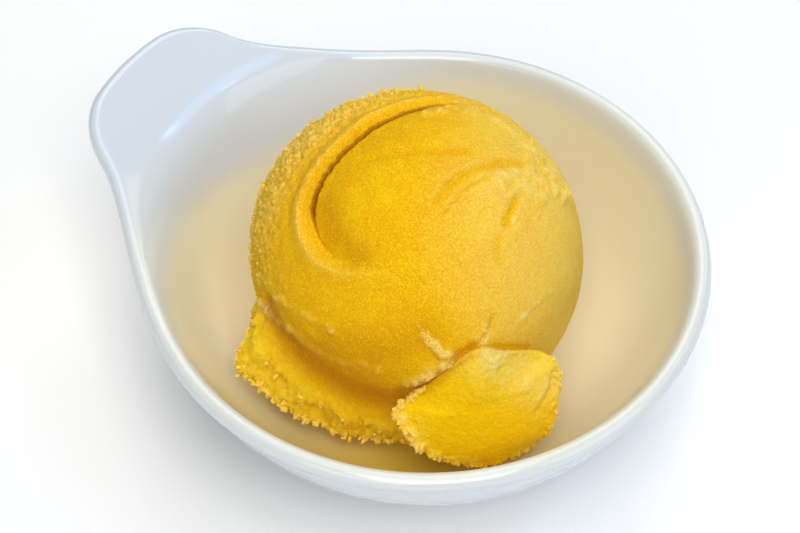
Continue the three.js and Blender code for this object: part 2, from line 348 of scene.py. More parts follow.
def half_outline():
    """One side of the rim in plan, from +X round to the tip of the handle."""
    angles = np.linspace(0, BOWL_ARC, 90, endpoint=False)
    arc = BOWL_RADIUS * np.stack([np.cos(angles), np.sin(angles)], axis=-1)
    arc_end = np.array([math.cos(BOWL_ARC), math.sin(BOWL_ARC)])
    leaving = np.array([-arc_end[1], arc_end[0]])
    arc_end = arc_end * BOWL_RADIUS
    centre = np.array([
        -(HANDLE_REACH - HANDLE_BULGE - HANDLE_CORNER),
        HANDLE_HALF_WIDTH - HANDLE_CORNER,
    ])
    corner_start = math.pi / 2 - HANDLE_TAPER
    corner_end = 2 * math.atan2(HANDLE_BULGE, centre[1])
    turns = np.linspace(corner_start, corner_end, 40)
    corner = centre + HANDLE_CORNER * np.stack([-np.cos(turns), np.sin(turns)], axis=-1)
    side_end = corner[0]
    arriving = np.array([-math.cos(HANDLE_TAPER), -math.sin(HANDLE_TAPER)])
    length = np.linalg.norm(side_end - arc_end)
    t = np.linspace(0, 1, 80, endpoint=False)[:, None]
    side = (
        (1 - t) ** 3 * arc_end
        + 3 * (1 - t) ** 2 * t * (arc_end + leaving * SIDE_LEAVE * length)
        + 3 * (1 - t) * t**2 * (side_end - arriving * SIDE_ARRIVE * length)
        + t**3 * side_end
    )
    tip_start = corner[-1]
    share = np.linspace(1, 0, 12)[1:]
    tip_x = -HANDLE_REACH + (tip_start[0] + HANDLE_REACH) * share**2
    tip = np.stack([tip_x, tip_start[1] * share], axis=-1)
    return np.vstack([arc, side, corner, tip])


def lip_line():
    """The middle of the lip in plan, all the way round."""
    half = half_outline()
    outline = np.vstack([half, half[-2:0:-1] * [1, -1]])
    along = np.roll(outline, -1, axis=0) - np.roll(outline, 1, axis=0)
    along /= np.linalg.norm(along, axis=1, keepdims=True)
    inward = np.stack([-along[:, 1], along[:, 0]], axis=-1)
    return outline + inward * WALL / 2


def dish_rings():
    """Rings over the dish, from the middle of its inside over the lip and under the foot."""
    lip = lip_line()
    reach = np.linalg.norm(lip, axis=1, keepdims=True)
    outward = lip / reach
    rims = np.column_stack([lip, middle_height(lip[:, 0], lip[:, 1])])

    def face_ring(side, radius, share=0.0):
        plan = outward * (radius + (reach - radius) * share)
        middle = np.column_stack([plan, middle_height(plan[:, 0], plan[:, 1])])
        return middle + side * WALL / 2 * middle_normal(plan[:, 0], plan[:, 1])

    def flat_ring(radius, height):
        return np.column_stack([outward * radius, np.full(len(lip), height)])

    rings = [face_ring(1, radius) for radius in np.linspace(1.5, ROUND_REACH, ROUND_RINGS)]
    easing = np.linspace(0, 1, EASING_RINGS + 1)[1:]
    rings += [face_ring(1, ROUND_REACH, share) for share in easing]
    normal = middle_normal(lip[:, 0], lip[:, 1])
    along = np.roll(rims, -1, axis=0) - np.roll(rims, 1, axis=0)
    beyond = np.cross(along, normal)
    beyond /= np.linalg.norm(beyond, axis=1, keepdims=True)
    for turn in np.linspace(0, math.pi, LIP_RINGS + 2)[1:-1]:
        rings.append(rims + WALL / 2 * (math.cos(turn) * normal + math.sin(turn) * beyond))
    easing = np.linspace(1, 0, EASING_RINGS + 1)[:-1]
    rings += [face_ring(-1, ROUND_REACH, share) for share in easing]
    rings += [face_ring(-1, radius) for radius in np.linspace(ROUND_REACH, FOOT_REACH, 26)]

    # The foot: a fillet down from the wall, the outer side, two rounded edges and the recess.
    wall_end = rings[-1]
    fillet = flat_ring(FOOT_RADIUS + 0.5, 2.6)
    rings += [wall_end * (1 - share) + fillet * share for share in (0.35, 0.7, 0.9)]
    rings += [flat_ring(FOOT_RADIUS + 0.3, 1.5), flat_ring(FOOT_RADIUS + 0.2, 0.8)]
    quarter = np.linspace(0, math.pi / 2, 5)
    for turn in quarter:
        radius = FOOT_RADIUS - FOOT_EDGE + FOOT_EDGE * math.cos(turn)
        rings.append(flat_ring(radius, FOOT_EDGE - FOOT_EDGE * math.sin(turn)))
    recess = FOOT_RADIUS - FOOT_WIDTH
    for turn in quarter:
        radius = recess + FOOT_EDGE - FOOT_EDGE * math.sin(turn)
        rings.append(flat_ring(radius, FOOT_EDGE - FOOT_EDGE * math.cos(turn)))
    rings += [flat_ring(recess - 0.5, 1.7), flat_ring(recess - 1.2, FOOT_RECESS)]
    rings += [flat_ring(radius, FOOT_RECESS) for radius in (18, 12, 6)]
    return np.array(rings)


def warm_pool(rings):
    """Painted bounce light over the dish's rings: how far the sorbet's warm bounce tints the glaze,
    fully low inside and half so near the rim.
    """
    inner = ROUND_RINGS + EASING_RINGS
    inside = rings[:inner]
    azimuth = np.degrees(np.arctan2(inside[..., 1], inside[..., 0]))
    line = 35.5 - 9 * bell(turn_between(162, azimuth), 34)
    neutral = 0.45 * smoothstep(inside[..., 0], -60, -42)
    neutral = neutral * (1 - bell(turn_between(150, azimuth), 48))
    pool = np.zeros(rings.shape[:2])
    pool[:inner] = np.maximum(1 - smoothstep(inside[..., 2] - line, -4.5, 4.5), neutral)
    fade = np.linspace(1, 0, LIP_FADE_RINGS)[:, None] ** 0.5
    pool[inner:inner + LIP_FADE_RINGS] = neutral[-1] * fade
    return pool


def make_dish():
    rings = dish_rings()
    top = (0, 0, FLOOR_HEIGHT + WALL / 2)
    dish = closed_surface("glazed_dish", top, rings, (0, 0, FOOT_RECESS))
    # The warm tint inside is painted bounce light from the sorbet.
    set_ring_attributes(dish, first=1, pool=warm_pool(rings))
    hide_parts("dish")
    dish.data.materials.append(porcelain())
    return dish


def stain_dish(dish, sorbet):
    """Painted shadow on the glaze under the sorbet's low edges, yellow with its bounce light and
    strongest at the front.
    """
    tree = KDTree(len(sorbet))
    for index, point in enumerate(sorbet):
        tree.insert(point, index)
    tree.balance()
    points = np.array([vertex.co for vertex in dish.data.vertices]) / MM - [BOWL_X, 0, 0]
    gap = np.array([tree.find(point)[2] for point in points])
    azimuth = np.degrees(np.arctan2(points[:, 1], points[:, 0]))
    upper = points[:, 2] > middle_height(points[:, 0], points[:, 1])
    set_attribute(dish, "juice", upper * bell(gap, 11) * bell(turn_between(-64, azimuth), 42))


# ---- Sorbet ----

def around(axis, spin, tilt):
    """Directions at an angle tilt from an axis, spun from right towards up, in radians."""
    across = np.cross(UP, axis)
    across /= np.linalg.norm(across)
    above = np.cross(axis, across)
    spin = np.asarray(spin)[..., None]
    tilt = np.asarray(tilt)[..., None]
    return np.cos(tilt) * axis + np.sin(tilt) * (np.cos(spin) * across + np.sin(spin) * above)


# The fold round the dome: spin, the crevice's tilt, how far outside it the crest of the rolled lip
# lies, and how deep the slot, how deep the hollow and how high the crest are there, in millimetres.
FOLD_LINE = [
    (0, 44, 3, 0, 0, 0), (20, 56, 3, 0, 0, 0), (40, 57.5, 3, 0, 0, 0), (60, 55, 2.8, 0, 0.1, 0.1),
    (70, 51.5, 2.6, 0.3, 0.25, 0.4), (76, 48.5, 2.6, 1, 0.5, 0.65), (82, 44.5, 2.6, 1.8, 0.65, 0.8),
    (88, 41.3, 2.8, 2.4, 0.75, 0.9), (95, 38.5, 2.8, 2.8, 0.8, 0.9),
    (108, 35.2, 2.4, 3.2, 0.9, 0.9),
    (124, 32, 2.1, 3.4, 1.05, 0.9), (139, 31.2, 1.9, 3.4, 1.1, 0.9), (152, 32, 2, 3.4, 1.2, 0.9),
    (165, 33.1, 2, 3.2, 1.3, 0.9), (177, 34.5, 1.9, 2.4, 1.5, 0.95), (184, 34.9, 1.9, 1.4, 1.7, 1),
    (194, 35, 2, 0.5, 1.8, 1), (202, 34.3, 2.3, 0.1, 1.8, 0.95), (215, 32.5, 2.4, 0, 1.6, 0.8),
    (229, 28.8, 2.5, 0, 1.2, 0.55), (240, 25, 2.8, 0, 0.6, 0.3), (255, 22.5, 3, 0, 0.2, 0.1),
    (270, 22, 3, 0, 0, 0), (320, 26, 3, 0, 0, 0), (340, 34, 3, 0, 0, 0),
]


def fold_line(spin):
    """Tilt of the crevice, the crest's distance from it, and depths and height, at each spin."""
    table = np.array(FOLD_LINE, float).T
    steps = (-6, -3, 0, 3, 6)

    def smoothed(row):
        spread = (np.interp(spin + step, table[0], row, period=360) for step in steps)
        return sum(spread) / len(steps)

    return [smoothed(row) for row in table[1:]]


def skirt_reach(spin):
    """How far the edge stands out beyond the ball, in millimetres, at each spin in degrees."""
    grown = np.maximum(0, (268 - spin) / 57)
    ripple = 0.35 * np.sin(np.radians(spin * 19)) + 0.25 * np.sin(np.radians(spin * 31))
    skirt = (3.9 + 5.2 * grown**1.6 + ripple) * smoothstep(spin, 197, 213)
    return 0.5 * bell(spin - 140, 60) + skirt * (1 - smoothstep(spin, 290, 318))


def clear_of_dish(points):
    """The points, raised where they would come nearer to the dish than the gap."""
    normal = middle_normal(points[..., 0], points[..., 1])
    top = middle_height(points[..., 0], points[..., 1]) + (WALL / 2 + GAP) / normal[..., 2]
    points[..., 2] = np.maximum(points[..., 2], top)
    return points


# Lines over the side that faces the camera, in pixels. Each has its half width and height in
# millimetres, how ragged it is, how frosted, and how much painted shade deepens its colour, 0 to 1.
RELIEF = [
    # Sweeps of the scoop over the dome, with painted shade in their grooves.
    ([(357, 162), (392, 154), (432, 151), (470, 153)], 0.9, -0.25, 0.4, 0.0, 0.22),
    ([(436, 206), (446, 190), (457, 179), (478, 169), (500, 163), (520, 164)],
     0.8, -0.5, 0.5, 0.0, 0.24),
    ([(444, 214), (456, 199), (470, 186), (488, 178)], 0.5, -0.35, 0.5, 0.0, 0.2),
    ([(432, 198), (441, 182), (455, 171), (474, 162)], 0.5, 0.22, 0.8, 0.12, 0.0),
    ([(449, 203), (470, 192), (500, 190), (514, 198)], 0.8, 0.22, 0.7, 0.12, 0.0),
    ([(517, 197), (512, 210), (506, 224)], 0.9, -0.45, 0.5, 0.0, 0.25),
    ([(523, 196), (519, 209), (513, 222)], 0.5, 0.1, 1.0, 0.15, 0.0),
    ([(500, 196), (520, 190), (541, 194)], 1.0, 0.3, 1.0, 0.28, 0.0),
    ([(487, 346), (505, 347), (527, 349)], 0.9, -0.45, 0.3, 0.0, 0.3),
    ([(500, 236), (496, 250), (498, 262)], 0.7, -0.2, 0.6, 0.0, 0.2),
    # Rough icy patch and the broken end of the fold at the upper right.
    ([(502, 178), (522, 172), (545, 184), (560, 196)], 2.0, 0.4, 1.0, 0.33, 0.0),
    ([(532, 152), (549, 172), (562, 196)], 1.5, 0.35, 1.0, 0.3, 0.0),
    ([(425, 112), (438, 110), (449, 111)], 0.8, 0.6, 1.0, 0.5, 0.0),
    ([(452, 106), (485, 113), (515, 132), (532, 150)], 1.3, 0.4, 1.0, 0.3, 0.0),
    # Fine pale scar at the lower right, and the pale tip above the tongue.
    ([(551, 290), (537, 302), (525, 313), (512, 327)], 0.45, 0.2, 1.0, 0.5, 0.0),
    ([(553, 294), (530, 313), (514, 331)], 0.5, -0.15, 0.4, 0.0, 0.06),
    ([(487, 332), (484, 340), (486, 348)], 0.8, 0.45, 0.8, 0.9, 0.0),
    # Arcs at the lower left.
    ([(259, 300), (274, 318), (291, 333), (314, 352), (344, 366), (376, 371)],
     0.6, 0.5, 1.0, 0.35, 0.0),
    ([(262, 275), (274, 292), (292, 306), (310, 317), (332, 330)], 0.5, 0.4, 1.0, 0.28, 0.0),
    ([(268, 322), (290, 344), (316, 362), (350, 378)], 0.9, -0.3, 0.8, 0.0, 0.3),
    # Painted shade low on the front and inside the fold's lower end.
    ([(330, 345), (380, 352), (425, 335)], 5.0, 0.0, 0.0, 0.0, 0.45),
    ([(326, 205), (334, 236), (358, 254)], 4.0, 0.0, 0.0, 0.0, 0.5),
    # Crack between the ball and the tongue, with torn edges and painted shade inside it.
    ([(492, 314), (487, 330), (480, 341), (468, 350)], 0.55, -0.55, 0.3, 0.0, 0.5),
    ([(472, 348), (459, 358), (448, 370), (432, 383), (416, 391), (402, 398)],
     1.4, -0.5, 0.5, 0.0, 0.75),
    ([(491, 312), (485, 328), (477, 339)], 0.45, 0.45, 0.6, 0.8, 0.0),
    ([(450, 362), (437, 370), (424, 380), (408, 388)], 1.2, 0.8, 1.0, 0.7, 0.0),
]
# The torn flap above the crack: its outline in pixels.
FLAP_OUTLINE = [
    (412, 320), (424, 331), (436, 339), (446, 347), (456, 353), (448, 357), (438, 358), (430, 352),
    (423, 341),
]


def line_distance(pixels, line):
    """Distance in pixels to a line through the given points."""
    nearest = np.full(pixels.shape[:-1], 1e9)
    for start, end in zip(np.array(line[:-1], float), np.array(line[1:], float)):
        along = end - start
        share = np.clip((pixels - start) @ along / (along @ along), 0, 1)
        gap = np.linalg.norm(pixels - start - share[..., None] * along, axis=-1)
        nearest = np.minimum(nearest, gap)
    return nearest


def drawn_relief(surface, directions, lines):
    """Height in millimetres, frost and painted shade that the lines add to the side in view."""
    pixels = frame_pixels(surface)
    facing = smoothstep(directions @ FACE, 0.0, 0.15)
    uneven = 0.5 + 0.5 * noise(surface, 1.2, 21)
    wander = 0.45 * noise(surface, 3.5, 22) + 0.5 * noise(surface, 1.3, 23)
    height = np.zeros(facing.shape)
    frost = np.zeros(facing.shape)
    deep = np.zeros(facing.shape)
    for line, width, tall, ragged, frosted, deepened in lines:
        distance = line_distance(pixels, line) / PIXELS_PER_MM + wander * ragged
        shape = bell(np.maximum(distance, 0), width) * facing
        height += tall * shape * (1 - ragged + 2 * ragged * uneven)
        frost = np.maximum(frost, frosted * shape * (1 - ragged + 2 * ragged * uneven**2))
        deep = np.maximum(deep, deepened * shape)
    return height, np.clip(frost, 0, 1), deep


def flap_relief(surface):
    """Height and frost of the torn flap, ragged at its edge and lifting to the lower right."""
    pixels = frame_pixels(surface)
    outline = np.array(FLAP_OUTLINE, float)
    inside = np.zeros(pixels.shape[:-1], bool)
    for start, end in zip(outline, np.roll(outline, -1, axis=0)):
        crosses = (start[1] > pixels[..., 1]) != (end[1] > pixels[..., 1])
        slope = (end[0] - start[0]) / (end[1] - start[1] + 1e-9)
        inside ^= crosses & (pixels[..., 0] < start[0] + slope * (pixels[..., 1] - start[1]))
    gap = line_distance(pixels, [*FLAP_OUTLINE, FLAP_OUTLINE[0]]) / PIXELS_PER_MM
    ragged = 0.45 * noise(surface, 1.0, 24)
    gap = np.where(inside, gap, -gap) + ragged + 0.5 * noise(surface, 0.5, 25) - 0.25
    cover = smoothstep(gap, -0.1, 0.25)
    lift = smoothstep(pixels[..., 0], 414, 446)
    uneven = 0.8 + 0.35 * noise(surface, 0.8, 26)
    return FLAP_HEIGHT * cover * (0.15 + 0.85 * lift) * uneven, cover * (0.35 + 0.3 * lift)


def on_ball(direction, radius):
    """Points at a distance from the ball's centre, kept clear of the dish."""
    return clear_of_dish(BALL_CENTRE + direction * np.asarray(radius)[..., None])


def grain(points, rough):
    """Frozen grain in millimetres: broad unevenness, and ice standing out where it is rough."""
    broad = 0.25 * noise(points, 13, 1) + 0.10 * noise(points, 5, 2)
    fine = 0.05 * noise(points, 2.0, 3) + 0.06 * noise(points, 1.0, 4)
    lumps = beads(points, BEAD, 6) - 0.35
    small = beads(points, 0.95, 7) - 0.35
    spikes = beads(points, 1.1, 9) ** 3 - 0.15
    ice = 0.4 * lumps + 0.45 * small + 1.25 * spikes + 0.45 * noise(points, 2.9, 8)
    return broad + fine + 0.07 * small + rough * ice


def ball_rows():
    """Rings from the fold's pole to the back of the ball: direction, height and surface of each."""
    turn = np.radians(SPINS)
    tilt, crest_at, slot, hollow, crest = fold_line(SPINS)
    sharp = smoothstep(slot, 0, 2.2)
    jagged = noise(BALL_RADIUS * around(FOLD, turn, np.radians(tilt)), 1.1, 51)
    tilt = np.radians(tilt + 0.55 * sharp * jagged)
    reach = skirt_reach(SPINS)
    skirted = smoothstep(reach, 1, 4)
    crevice = around(FOLD, turn, tilt)
    edge = around(FACE, turn, np.full(BALL_COLUMNS, math.pi / 2))
    span = np.arccos(np.sum(crevice * edge, axis=-1))
    rows = []

    def add(direction, height, rough, deep=0, pale=0, thin=0):
        values = [np.broadcast_to(value, BALL_COLUMNS) for value in (rough, deep, pale, thin)]
        rows.append((direction, height, *values))

    def between(angle):
        angle = np.minimum(angle, span)[..., None]
        whole = span[..., None]
        return (crevice * np.sin(whole - angle) + edge * np.sin(angle)) / np.sin(whole)

    # The dome, from its pole out to the crevice, with painted shade in the hollow beside it.
    for share in 1 - (1 - np.linspace(0, 1, DOME_RINGS + 1)[1:]) ** 1.6:
        distance = BALL_RADIUS * tilt * (1 - share)
        narrow = bell(distance, SLOT_EDGE)
        broad = np.exp(-((distance / 6.5) ** 1.6))
        shade = sharp * (bell(distance, 0.6) + narrow)
        add(
            around(FOLD, turn, tilt * share), -slot * narrow - hollow * broad,
            rough=0.05, deep=np.minimum(shade + 0.18 * hollow * broad, 2),
        )

    # The slot's other side and the rolled lip, up to its crest, with painted shade in the slot and
    # a painted highlight on the crest.
    rough_side = bell(turn_between(145, SPINS), 60)
    icy_side = 0.17 * bell(turn_between(138, SPINS), 36)
    slit = SLOT_WIDTH * sharp
    for share in np.linspace(0, 1, FOLD_RINGS + 1)[1:]:
        in_slot = min(1, share / SLOT_SHARE)
        on_lip = max(0, (share - SLOT_SHARE) / (1 - SLOT_SHARE))
        distance = slit * in_slot + (crest_at - slit) * on_lip
        rise_steep = 1 - (1 - on_lip) ** 1.8
        rise_soft = on_lip * on_lip * (3 - 2 * on_lip)
        rise = rise_soft + (rise_steep - rise_soft) * sharp
        shade = 2 * sharp * (1 - smoothstep(share, 0.19, 0.3))
        shade = shade + (0.15 * sharp + 0.1 * hollow) * (1 - rise) ** 0.8
        add(
            between(distance / BALL_RADIUS),
            -slot * (1 - in_slot) ** 0.6 - hollow * (1 - rise) + crest * rise,
            rough=0.17, deep=np.minimum(shade, 2), pale=0.25 * crest * bell(1 - on_lip, 0.35),
        )

    # The side, from the crest over the valley to the skirt's edge, with a painted highlight by the
    # crest and painted shade in the valley.
    crest_angle = crest_at / BALL_RADIUS
    for share in np.linspace(0, 1, SIDE_RINGS + 1)[1:]:
        angle = crest_angle + (span - crest_angle) * share
        beyond = (angle - crest_angle) * BALL_RADIUS
        shoulder = crest * (0.3 + 0.7 * bell(beyond, 1.8)) * (1 - smoothstep(beyond, 8, 20))
        shoulder -= 0.22 * sharp * bell(beyond - 3.3, 0.9)
        valley = 1.7 * skirted * bell(share - 0.68, 0.17)
        inner_edge = 0.7 * smoothstep(reach, 2, 4) * bell(share - 0.87, 0.03)
        fringe = smoothstep(reach, 0.2, 1.2) * smoothstep(share, 0.72, 0.98)
        outward = smoothstep(share, 0.08, 0.4)
        ridge = 0.1 * sharp * bell(beyond, 5)
        add(
            between(angle), shoulder + reach * share**6 - valley + inner_edge,
            rough=np.clip(0.05 + ridge + 0.9 * fringe + 0.8 * rough_side * outward, 0, 1),
            deep=0.9 * skirted * bell(share - 0.66, 0.13),
            pale=0.25 * crest * bell(beyond, 0.9) + icy_side * outward + 0.06 * fringe,
            thin=skirted * smoothstep(share, 0.68, 0.9),
        )

    # The back, where the skirt and the icy grain die away.
    for degrees in 90 * (np.linspace(0, 1, BACK_RINGS + 2)[1:-1]) ** 1.7:
        tilt_back = np.full(BALL_COLUMNS, math.pi / 2 + math.radians(degrees))
        fringe = smoothstep(reach, 0.2, 1.2) * np.exp(-degrees / 10)
        fading = bell(degrees, 24)
        broken = 0.05 + 0.2 * smoothstep(degrees, 5, 40)
        add(
            around(FACE, turn, tilt_back), reach * np.exp(-degrees / 4.5),
            rough=np.clip(broken + 0.8 * rough_side * fading + 0.9 * fringe, 0, 1),
            pale=icy_side * fading, thin=skirted * np.exp(-degrees / 15),
        )
    return [np.array(part) for part in zip(*rows)]


def make_ball():
    directions, heights, rough, shade, pale, thin = ball_rows()
    surface = BALL_CENTRE + directions * BALL_RADIUS
    relief, frost, deep = drawn_relief(surface, directions, RELIEF)
    flap, flap_frost = flap_relief(surface)
    frost = np.maximum(frost, flap_frost)
    deep = np.maximum(deep, shade) * (1 - flap_frost)
    radius = BALL_RADIUS + heights + relief + flap
    place = directions * radius[..., None]
    rings = on_ball(directions, radius + grain(place, rough))
    first = on_ball(FOLD, BALL_RADIUS)
    last = on_ball(-FACE, BALL_RADIUS)
    ball = closed_surface("sorbet_ball", first, rings, last)

    # Ice is palest on the tips of the grain, with painted shade between them; the smooth side has a
    # painted sheen.
    tips = beads(place, BEAD, 6)
    icy_ground = smoothstep(rough, 0.1, 0.8)
    bloom = 0.36 * smoothstep(directions @ BLOOM, 0.4, 1)
    bloom = bloom * (1 - rough) * (1 - np.clip(4 * deep, 0, 1))
    icy = 0.08 + 0.22 * smoothstep(directions @ UP, -0.3, 0.3)
    deep = np.maximum(deep, 0.4 * icy_ground * (1 - tips) ** 2)
    frost = np.clip(frost + icy * icy_ground * tips + pale, 0, 1)
    set_ring_attributes(ball, frost=frost, deep=deep, thin=thin, bloom=bloom)
    set_flow(ball, np.vstack([[first], rings.reshape(-1, 3), [last]]), SWEEP)
    return finish_sorbet(ball), rings


# The tongue's edge in pixels, with how far it stands off the ball and how ragged it is, 0 to 1.
TONGUE_OUTLINE = [
    (484, 347, 0.05, 0.1), (500, 350, 0.1, 0.1), (520, 351, 0.2, 0.2), (538, 354, 0.5, 0.3),
    (550, 363, 0.9, 0.6), (556, 380, 1, 0.7), (554, 402, 1, 0.7), (549, 423, 1, 0.8),
    (538, 446, 1, 0.8), (520, 458, 1, 0.8), (495, 463, 1, 0.8), (468, 463, 1, 0.8),
    (445, 457, 1, 0.8), (425, 447, 1, 0.9), (412, 434, 0.9, 1), (402, 420, 0.7, 1),
    (397, 408, 0.45, 0.9), (414, 396, 0.1, 0.3), (432, 383, 0, 0.1), (450, 369, 0, 0.1),
    (466, 356, 0.1, 0.1),
]
TONGUE_MIDDLE = (478, 404)
# Lines on the tongue, with the same columns as RELIEF; where they deepen the colour it is painted
# shade in creases and along the crack.
TONGUE_RELIEF = [
    ([(551, 370), (549, 385), (544, 398), (536, 412)], 0.6, -0.35, 0.3, 0.0, 0.4),
    ([(546, 372), (544, 386), (538, 398)], 0.7, 0.25, 0.5, 0.3, 0.0),
    ([(482, 340), (485, 351), (490, 364)], 1.2, 0.4, 0.7, 0.95, 0.0),
    ([(500, 351), (520, 351), (538, 355), (549, 364)], 0.8, 0.1, 1.0, 0.3, 0.0),
    ([(396, 407), (402, 420), (411, 434), (420, 444)], 1.7, 0.5, 1.0, 0.65, 0.0),
    ([(430, 450), (450, 458), (480, 463)], 0.8, 0.1, 1.0, 0.2, 0.0),
    ([(470, 356), (452, 372), (436, 385), (410, 398)], 1.1, -0.3, 0.4, 0.0, 0.45),
    ([(488, 352), (497, 372), (509, 392)], 1.0, 0.15, 0.8, 0.2, 0.0),
    ([(500, 356), (514, 374), (528, 392)], 0.8, 0.12, 0.8, 0.15, 0.0),
]
TONGUE_BLOOM = [([(492, 356), (515, 364), (538, 380)], 5.5, 0.35, 0.3, 0.45, 0.0)]


def tongue_height(direction):
    """How far the tongue's top stands off the ball, in millimetres: more, further down the ball."""
    tilt = np.arccos(np.clip(direction @ FACE, -1, 1))
    return TONGUE_THICKNESS + TONGUE_FLARE * smoothstep(tilt, math.radians(50), math.radians(92))


def tongue_rim(columns):
    """Directions of the tongue's edge, how far it stands off and how ragged it is, all round it."""
    rim = []
    for across, down, stand, ragged in TONGUE_OUTLINE:
        height = TONGUE_THICKNESS
        for _ in range(20):
            direction = pixel_direction(across, down, height)
            height += 0.4 * (float(tongue_height(direction)) * stand - height)
        rim.append([*direction, stand, ragged])
    rim = np.array(rim)
    place = np.linspace(0, len(rim), columns, endpoint=False)
    index = place.astype(int)
    t = (place - index)[:, None]
    a, b, c, d = (rim[(index + offset) % len(rim)] for offset in (-1, 0, 1, 2))
    line = b + 0.5 * t * (c - a + t * (2 * a - 5 * b + 4 * c - d + t * (3 * (b - c) + d - a)))
    direction = line[:, :3] / np.linalg.norm(line[:, :3], axis=1, keepdims=True)
    return direction, np.clip(line[:, 3], 0, 1), np.clip(line[:, 4], 0, 1)


def make_tongue():
    middle = pixel_direction(*TONGUE_MIDDLE, TONGUE_THICKNESS)
    rim, stand, ragged = tongue_rim(TONGUE_COLUMNS)
    span = np.arccos(rim @ middle)
    directions = []
    heights = []
    roughs = []

    def add(share, extra, drop, sunk=0.0, rough=0.05):
        """A ring at a share of the way to the rim, pushed out, dropped and sunk into the ball."""
        angle = (span * share + extra / BALL_RADIUS)[:, None]
        whole = span[:, None]
        direction = (middle * np.sin(whole - angle) + rim * np.sin(angle)) / np.sin(whole)
        thin = 1 - (1 - stand) * smoothstep(share, 0.25, 1)
        crown = TONGUE_CROWN * (1 - share**2)
        outer = (tongue_height(direction) + crown) * thin + 0.25 * (1 - thin)
        directions.append(direction)
        height = outer - drop * (0.35 + 0.65 * thin)
        heights.append(height * (1 - sunk) - TONGUE_ROOT * sunk)
        roughs.append(rough * ragged)

    for share in 1 - (1 - np.linspace(0, 1, TONGUE_TOP_RINGS + 1)[1:]) ** 1.25:
        add(share, 0, 0, rough=0.03 + 0.6 * float(smoothstep(share, 0.9, 1)))
    for turn in np.linspace(0, math.pi, TONGUE_EDGE_RINGS + 1)[1:]:
        out = TONGUE_EDGE * math.sin(turn) * stand
        add(1, out, TONGUE_EDGE * (1 - math.cos(turn)), rough=0.9)
    for share in np.linspace(0, 1, TONGUE_UNDER_RINGS + 1)[1:]:
        add(1 - 0.3 * share, 0, 2.4 + share, share, rough=0.8)
    for share in (0.5, 0.25):
        add(share, 0, 3.4, 1)
    directions = np.array(directions)
    rough = np.array(roughs)
    radius = BALL_RADIUS + np.array(heights)
    place = BALL_CENTRE + directions * radius[..., None]
    relief, frost, deep = drawn_relief(place, directions, TONGUE_RELIEF)
    swell, bloom, _ = drawn_relief(place, directions, TONGUE_BLOOM)
    radius = radius + relief + swell + grain(place, rough)
    radius = radius + 0.08 * noise(place, 0.6, 11) + 0.05 * noise(place, 0.35, 12)
    rings = on_ball(directions, radius)
    first = on_ball(middle, BALL_RADIUS + float(tongue_height(middle)) + TONGUE_CROWN)
    last = on_ball(middle, BALL_RADIUS - TONGUE_ROOT)
    tongue = closed_surface("sorbet_tongue", first, rings, last)
    tips = beads(place, BEAD, 6)
    frost = np.clip(frost + 0.3 * smoothstep(rough, 0.2, 0.8) * tips, 0, 1)
    thin = np.full(frost.shape, TONGUE_THIN)
    set_ring_attributes(tongue, frost=frost, deep=deep)
    set_ring_attributes(tongue, first=TONGUE_THIN, last=TONGUE_THIN, thin=thin)
    set_ring_attributes(tongue, bloom=bloom)
    set_flow(tongue, np.vstack([[first], rings.reshape(-1, 3), [last]]), TONGUE_SWEEP)
    return finish_sorbet(tongue), rings


def ball_band(rings, low, high, spread):
    """Points of the ball's edge ring and the rings beside it between two spins in degrees."""
    chosen = (SPINS >= low) & (SPINS <= high)
    beside = rings[EDGE_RING - spread:EDGE_RING + 2 + spread // 2]
    return beside[:, chosen].reshape(-1, 3)


def tongue_band(rings, low, high):
    """Points of the tongue's rim between two shares of the way round it."""
    rim = rings[TONGUE_TOP_RINGS - 1:TONGUE_TOP_RINGS + 11]
    return rim[:, int(low * TONGUE_COLUMNS):int(high * TONGUE_COLUMNS)].reshape(-1, 3)


def make_crumbs(edges):
    """Splinters of ice along bands of points, each with a count, sizes, frost and stretch."""
    rng = np.random.default_rng(7)
    unit = bmesh.new()
    bmesh.ops.create_icosphere(unit, subdivisions=2, radius=1)
    shape = np.array([vertex.co for vertex in unit.verts])
    facets = [[vertex.index for vertex in face.verts] for face in unit.faces]
    unit.free()
    points = []
    faces = []
    frost = []
    for band, count, small, large, frosted, stretch in edges:
        for _ in range(count):
            place = band[rng.integers(len(band))]
            size = small + (large - small) * rng.random() ** 2.5
            outward = (place - BALL_CENTRE) / np.linalg.norm(place - BALL_CENTRE)
            lean = outward + 0.7 * rng.normal(size=3)
            lean /= np.linalg.norm(lean)
            lump = shape * size * rng.uniform(0.4, 1.1, 3)
            lump *= 1 + 0.45 * noise(shape + rng.uniform(0, 99, 3), 0.7, 31)[:, None]
            lump += (lump @ lean)[:, None] * lean * rng.uniform(0.1, stretch)
            start = len(points)
            points.extend(lump + place + outward * size * rng.uniform(-0.8, 0.1))
            faces.extend([start + corner for corner in facet] for facet in facets)
            frost.extend([frosted * rng.random()] * len(lump))
    crumbs = mesh_object("sorbet_crumbs", clear_of_dish(np.array(points)), faces)
    crumbs.data.shade_flat()
    set_attribute(crumbs, "frost", frost)
    set_attribute(crumbs, "deep", np.zeros(len(points)))
    set_attribute(crumbs, "thin", np.full(len(points), CRUMB_THIN))
    set_attribute(crumbs, "bloom", np.full(len(points), CRUMB_BLOOM))
    set_flow(crumbs, np.array(points), FOLD)
    return finish_sorbet(crumbs, "frozen_crumbs", 0.0)


def finish_sorbet(piece, material="frozen_mango", subsurface=0.35):
    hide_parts("sorbet")
    piece.data.materials.append(frozen_mango(material, subsurface))
    return piece


# ---- Materials ----

def new_material(name):
    """A material with its nodes, links and shader, which are None where it has been made before."""
    material = bpy.data.materials.get(name)
    if material:
        return material, None, None, None
    material = bpy.data.materials.new(name)
    material.use_nodes = True
    nodes = material.node_tree.nodes
    return material, nodes, material.node_tree.links, nodes["Principled BSDF"]


